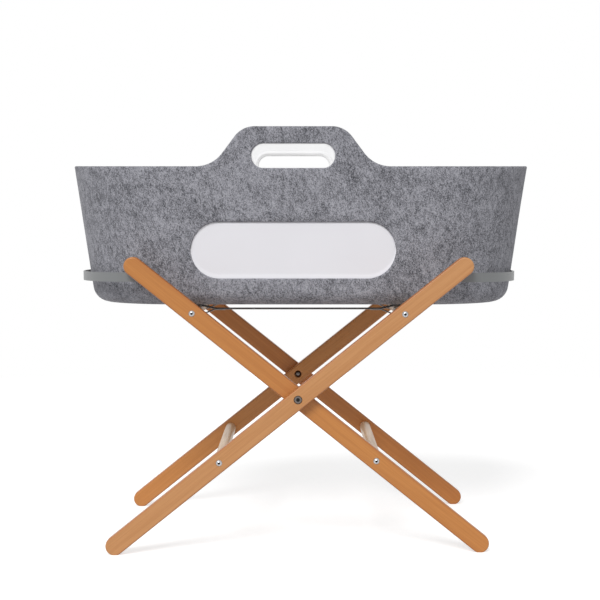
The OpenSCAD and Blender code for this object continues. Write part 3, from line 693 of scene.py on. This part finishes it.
def pad_grid():
    """Rings that share the basket's oval plan, from the middle of the underside out to the
    round foot, up the side and in over the crowned top."""
    foot = np.radians(np.linspace(0, 90, 6))
    side_top = PAD_TOP - CROWN - EDGE_R
    under = np.linspace(0.02, 0.9, 8)
    over = np.linspace(0.97, 0.02, 9)
    radius = np.concatenate([(PAD_R - FOOT_R) * under, PAD_R - FOOT_R * (1 - np.sin(foot)),
                             PAD_R - EDGE_R * (1 - np.cos(np.linspace(0, math.pi / 2, 6))),
                             (PAD_R - EDGE_R) * over])
    height = np.concatenate([0 * under + PAD_Z, PAD_Z + FOOT_R * (1 - np.cos(foot)),
                             side_top + EDGE_R * np.sin(np.linspace(0, math.pi / 2, 6)),
                             PAD_TOP - CROWN * over ** 2.4])
    share = np.concatenate([under, np.ones(12), over])
    turn = (np.arange(120) + 0.5) / 120 * 2 * math.pi
    straight = np.sign(np.cos(turn)) * PAD_STRAIGHT * share[:, None]
    ring = np.stack([BASKET_X + straight + radius[:, None] * np.cos(turn),
                     radius[:, None] * np.sin(turn), np.broadcast_to(height[:, None], straight.shape)], -1)
    ends = [np.broadcast_to(ring[row].mean(0), ring[0].shape)[None] for row in (0, -1)]
    return [(np.concatenate([ends[0], ring, ends[1]]), True, 0)]


def coordinates(mesh):
    """A mesh's points, one to a row."""
    flat = np.empty(3 * len(mesh.vertices))
    mesh.vertices.foreach_get("co", flat)
    return flat.reshape(-1, 3)


def apply_modifiers(piece):
    """Gives the piece the mesh that its modifiers make, and takes them off."""
    piece.data = bpy.data.meshes.new_from_object(piece.evaluated_get(bpy.context.evaluated_depsgraph_get()))
    piece.modifiers.clear()


def stuffed(piece, voxel, pressure, limit):
    """Remeshes the piece evenly, blows it up as cloth for 20 frames, and keeps each point
    within the limit of where it started."""
    even = piece.modifiers.new("even", "REMESH")
    even.mode = "VOXEL"
    even.voxel_size = voxel
    apply_modifiers(piece)
    before = coordinates(piece.data)
    cloth = piece.modifiers.new("filling", "CLOTH")
    cloth.settings.use_pressure = True
    cloth.settings.uniform_pressure_force = pressure
    cloth.settings.effector_weights.gravity = 0
    for step in range(1, 21):
        scene.frame_set(step)
    blown = coordinates(piece.evaluated_get(bpy.context.evaluated_depsgraph_get()).data)
    scene.frame_set(1)
    piece.modifiers.clear()
    move = blown - before
    far = np.linalg.norm(move, axis=1, keepdims=True)
    before = before + move * np.minimum(1, limit / np.maximum(far, 1e-9))
    piece.data.vertices.foreach_set("co", before.ravel())
    finer = piece.modifiers.new("finer", "SUBSURF")
    finer.levels = finer.render_levels = 1
    apply_modifiers(piece)
    piece.data.polygons.foreach_set("use_smooth", np.ones(len(piece.data.polygons), bool))


cover, tree = new_material("quilted_cotton_cover")
coords = add_node(tree, "TexCoord").outputs["Object"]
# The washed cotton's tone drifts over about 33 mm
cloudy = add_node(tree, "TexNoise", {"Vector": coords, "Scale": 30, "Detail": 2})
# The real threads, about 0.3 mm, are too fine to show, so these are drawn at 1 mm
threads = add_node(tree, "TexNoise", {"Vector": coords, "Scale": 1000, "Detail": 1})
shade = add_node(tree, "Mix", {0: cloudy, 6: srgb("#edebe7"), 7: srgb("#f3f2ee")}, **COLOURS)
relief = add_node(tree, "Bump", {"Strength": 0.3, "Distance": 0.0002, "Height": threads})
shader = add_node(tree, "BsdfPrincipled", {"Base Color": shade, "Roughness": 0.85, "IOR": 1.47,
                                           "Sheen Weight": 0.2, "Sheen Roughness": 0.5,
                                           "Normal": relief})
add_node(tree, "OutputMaterial", {"Surface": shader})

mattress = object_of("quilted_mattress", pad_grid(), [cover])
stuffed(mattress, FACET, PRESSURE, GIVE)
points = coordinates(mattress.data)
# Filling pushes both faces out and draws the sides in, so a pad is cut wider and flatter than
# it ends up: here it is let out round its middle line to its own plan, and pressed to its height
along = np.clip(points[:, 0] - BASKET_X, -PAD_STRAIGHT, PAD_STRAIGHT)
spine = np.stack([BASKET_X + along, 0 * along], 1)
reach = points[:, :2] - spine
far = np.linalg.norm(reach, axis=1)
points[:, :2] = spine + reach * PAD_R / far.max()
points[:, 2] = low.z + (points[:, 2] - points[:, 2].min()) * (high.z - low.z) / np.ptp(points[:, 2])
waist = points[far > far.max() - WAIST_BAND, 2].mean()
# The quilting's seams cross in diamonds 62 mm wide, on the top alone, and fade before its edge
u, v = (points[:, 0] - BASKET_X) / QUILT, points[:, 1] / QUILT
seam = np.minimum(np.abs((u + v + 0.5) % 1 - 0.5), np.abs((u - v + 0.5) % 1 - 0.5)) * QUILT / math.sqrt(2)
plan_r = np.hypot(np.maximum(np.abs(points[:, 0] - BASKET_X) - PAD_STRAIGHT, 0), points[:, 1])
above = np.clip((points[:, 2] - (PAD_TOP - 3 * FADE)) / FADE, 0, 1)
inside = np.clip((PAD_R - 2 * FADE - plan_r) / FADE_OUT, 0, 1)
points[:, 2] -= QUILT_DEPTH * np.exp(-(seam / SEAM_WIDTH) ** 2) * above * inside
mattress.data.vertices.foreach_set("co", points.ravel())
mattress.data.materials.clear()
mattress.data.materials.append(cover)
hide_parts("mattress")
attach(mattress, "basket")

PIPING_R = 0.0022


def piping(height, radius):
    """A round cord carried along the oval plan."""
    turn = np.linspace(0, 2 * math.pi, 145)
    around = np.linspace(0, 2 * math.pi, 11)[:, None]
    ring = radius + PIPING_R * np.cos(around)
    straight = np.sign(np.round(np.cos(turn), 9)) * PAD_STRAIGHT
    x = BASKET_X + straight + ring * np.cos(turn)
    z = np.broadcast_to(height + PIPING_R * np.sin(around), x.shape)
    return [(np.stack([x, ring * np.sin(turn), z], -1), False, 0)]


cord = object_of("mattress_piping", piping(waist, PAD_R), [cover])
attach(cord, "basket")


# Straps: two bands of woven polypropylene webbing, 38 mm wide, that go round both upper
# rails and are stitched back on themselves. They hold the open stand and carry the basket.
STRAP_W = 0.038
STRAP_T = 0.0011
STRAP_Y = 0.100
STITCHING = 0.034
TAIL = 0.018
RISE = 0.0028
# From the middle of the run to the middle of the tail that is sewn under it
PLY = 0.0012
low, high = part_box("upper_right_rail")
RAIL_R = (high.z - low.z) / 2
RAIL_X, RAIL_Z = high.x - RAIL_R, high.z - RAIL_R
LOOP_R = RAIL_R + 0.0008
STITCH_GAP = 0.0034
STITCH_HALF = 0.0013
STITCH_R = 0.00035
BOX_HALF = 0.0145
BOX_MARGIN = 0.003
BOX_PAST = 0.0005
RIB_MM = 1.6


def strap_path():
    """Centre line of a strap and how far along it each point is: from the middle to the
    stitching, on the tangent to a loop round the rail, back to the stitching and on along the
    tail; the other half is its mirror image."""
    below = RISE - PLY
    over = math.pi - math.atan(RISE / STITCHING) - math.acos(LOOP_R / math.hypot(STITCHING, RISE))
    under = math.acos(LOOP_R / math.hypot(STITCHING, below)) - math.atan(below / STITCHING) - math.pi
    turn = np.linspace(over, under, 41)
    loop = LOOP_R * np.stack([np.cos(turn), np.sin(turn)], 1)
    run = np.stack([np.linspace(-RAIL_X, -STITCHING, 40), np.full(40, RISE)], 1)
    share = np.linspace(0, 1, 9)[1:-1, None]
    up = run[-1] + (loop[0] - run[-1]) * share
    back = loop[-1] + (np.array([-STITCHING, below]) - loop[-1]) * np.linspace(0, 1, 9)[1:, None]
    tail = np.stack([np.linspace(-STITCHING, -STITCHING - TAIL, 8)[1:], np.full(7, below)], 1)
    half = np.concatenate([run, up, loop, back, tail]) + (RAIL_X, RAIL_Z)
    path = np.concatenate([half[:0:-1] * (-1, 1), half])
    step = np.linalg.norm(np.diff(path, axis=0), axis=1)
    return path, np.concatenate([[0], np.cumsum(step)])


def strap_band(y):
    """The webbing's section, a flat band with round selvedges, carried along its path. Each
    point also holds how far it is along and across the band."""
    path, along = strap_path()
    tangent = np.gradient(path, along, axis=0)
    tangent /= np.linalg.norm(tangent, axis=1, keepdims=True)
    normal = np.stack([-tangent[:, 1], tangent[:, 0]], 1)
    selvedge = np.radians(np.linspace(-90, 90, 5))
    flat = np.linspace(1, -1, 17)[1:-1] * (STRAP_W - STRAP_T) / 2
    across = np.concatenate([STRAP_W / 2 - STRAP_T / 2 * (1 - np.cos(selvedge)), flat,
                             -STRAP_W / 2 + STRAP_T / 2 * (1 - np.cos(selvedge)), -flat])
    through = np.concatenate([STRAP_T / 2 * np.sin(selvedge), 0 * flat + STRAP_T / 2,
                              STRAP_T / 2 * np.sin(selvedge[::-1]), 0 * flat - STRAP_T / 2])
    middle = path[:, None, :] + normal[:, None, :] * through[None, :, None]
    shape = middle.shape[:2]
    grid = np.stack([middle[..., 0], np.broadcast_to(y + across, shape), middle[..., 1],
                     np.broadcast_to(along[:, None], shape), np.broadcast_to(across, shape)], -1)
    ends = [grid[row] * (1, 0, 1, 1, 1) + (0, y, 0, 0, 0) for row in (0, -1)]
    for end, row in zip(ends, (0, -1)):
        end[:, [0, 2]] = path[row]
    return [(np.concatenate([ends[0][None], grid, ends[1][None]]), True, 0)]


def stitches(y):
    """Rows of thread that sew each tail down: a box with a cross in it. Every stitch is a
    small spindle, half sunk in the outer face of the two layers that it holds."""
    left, right, half = -STITCHING - TAIL + BOX_MARGIN, -STITCHING + BOX_PAST, BOX_HALF
    corners = [(left, -half), (right, -half), (right, half), (left, half), (left, -half), (right, half),
               (left, half), (right, -half)]
    sewn = []
    for (x0, y0), (x1, y1) in zip(corners[:-1], corners[1:]):
        count = int(math.hypot(x1 - x0, y1 - y0) / STITCH_GAP)
        at = (np.arange(count) + 0.5)[:, None] / count
        place = np.array([[x0, y0]]) + at * np.array([[x1 - x0, y1 - y0]])
        sewn.append(np.concatenate([place, np.tile([[x1 - x0, y1 - y0]], (count, 1))
                                    / math.hypot(x1 - x0, y1 - y0)], 1))
    sewn = np.concatenate(sewn)
    length = np.linspace(-1, 1, 5)
    around = np.linspace(0, 2 * math.pi, 7)[:-1]
    thick = STITCH_R * np.sqrt(np.maximum(1 - length ** 2, 0))
    patches = []
    for side in (-1, 1):
        for level in (RISE + STRAP_T / 2, RISE - PLY - STRAP_T / 2):
            along = sewn[:, None, None, 2:] * (length * STITCH_HALF)[None, :, None, None]
            aside = np.stack([-sewn[:, 3], sewn[:, 2]], 1)[:, None, None, :]
            ring = (thick[:, None] * np.cos(around))[None, :, :, None]
            plan = sewn[:, None, None, :2] + along + aside * ring
            rise = np.broadcast_to(level + (thick[:, None] * np.sin(around))[None], plan.shape[:3])
            spindles = np.stack([side * (RAIL_X + plan[..., 0]), y + plan[..., 1], RAIL_Z + rise,
                                 0 * rise, 0 * rise], -1)
            patches += [(spindle, True, 1) for spindle in spindles]
    return patches


webbing, tree = new_material("grey_webbing")
place = add_node(tree, "Attribute", attribute_name="weave", attribute_type="GEOMETRY").outputs["Vector"]
# Polypropylene webbing is woven in chevrons: ribs 1.6 mm apart that turn at the middle line
along = add_node(tree, "SeparateXYZ", {0: place}).outputs
chevron = add_node(tree, "Math", {0: along["Y"]}, operation="ABSOLUTE")
slant = add_node(tree, "Math", {0: along["X"], 1: chevron}, operation="ADD")
phase = add_node(tree, "Math", {0: slant, 1: 2 * math.pi * 1000 / RIB_MM}, operation="MULTIPLY")
wave_up = add_node(tree, "Math", {0: phase}, operation="SINE")
rib = add_node(tree, "MapRange", {"Value": wave_up, "From Min": -1, "From Max": 1}, **EASED)
shade = add_node(tree, "Mix", {0: rib, 6: srgb("#9a9794"), 7: srgb("#c8c5c1")}, **COLOURS)
relief = add_node(tree, "Bump", {"Strength": 0.5, "Distance": 0.0003, "Height": rib})
shader = add_node(tree, "BsdfPrincipled", {"Base Color": shade, "Roughness": 0.7, "IOR": 1.49,
                                           "Sheen Weight": 0.15, "Sheen Roughness": 0.4,
                                           "Normal": relief})
add_node(tree, "OutputMaterial", {"Surface": shader})

thread, tree = new_material("grey_thread")
coords = add_node(tree, "TexCoord").outputs["Object"]
twist = add_node(tree, "TexNoise", {"Vector": coords, "Scale": 1000 / 0.667})
shade = add_node(tree, "Mix", {0: twist, 6: srgb("#8c8c8f"), 7: srgb("#a2a2a5")}, **COLOURS)
shader = add_node(tree, "BsdfPrincipled", {"Base Color": shade, "Roughness": 0.6, "IOR": 1.49})
add_node(tree, "OutputMaterial", {"Surface": shader})

for name, y in (("front", -STRAP_Y), ("rear", STRAP_Y)):
    strap = object_of(name + "_webbing_strap", strap_band(y) + stitches(y), [webbing, thread])
    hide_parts(name + "_strap")
    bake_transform(strap)
